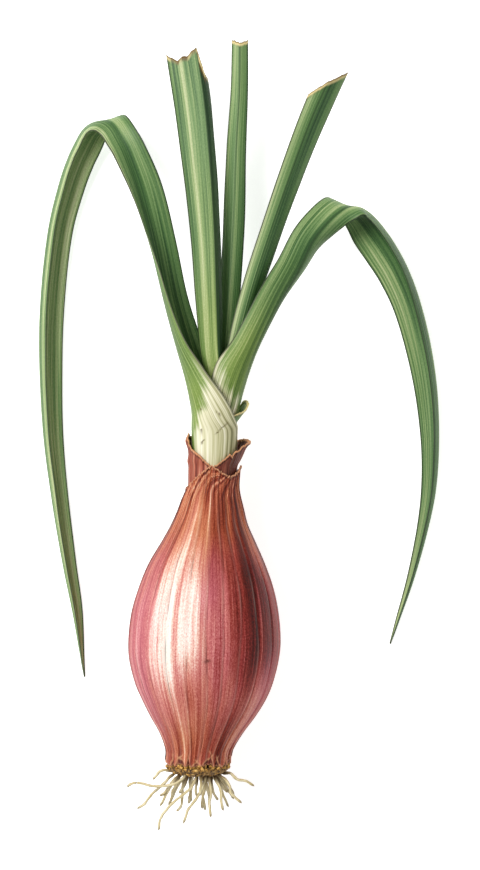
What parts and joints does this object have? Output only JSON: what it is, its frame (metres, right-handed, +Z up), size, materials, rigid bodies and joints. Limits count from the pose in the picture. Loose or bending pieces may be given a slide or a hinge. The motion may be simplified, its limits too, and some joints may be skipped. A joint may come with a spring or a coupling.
{
  "type": "shallot",
  "caption": "Long banana shallot as picked, lying down: ribbed bulb in papery skins, corky base with roots, and green leaves that fold over and hang or are cut short.",
  "frame": {"origin": "on the small flat spot under the bulb's belly, where it rests on a surface", "axes": "+Z up away from the surface, +Y from the roots to the leaves along the bulb, +X to the side of the right-hand hanging leaf"},
  "size_m": [0.1223, 0.2374, 0.0452],
  "materials": {
    "outer_skin": "satin",
    "inner_skin": "matte",
    "sheathed_leaf": "satin",
    "green_sheath": "satin",
    "leaf_blade": "satin",
    "cork_and_root": "matte"
  },
  "bodies": {
    "root": {"bulb": "outer_skin", "inner_skin": "inner_skin", "leaf_left": "sheathed_leaf", "sheath_flap": "green_sheath", "leaf_right": "sheathed_leaf", "leaf_cut_wide": "leaf_blade", "leaf_cut_mid": "leaf_blade", "leaf_cut_slant": "leaf_blade", "root_plate": "cork_and_root"}
  },
  "joints": []
}
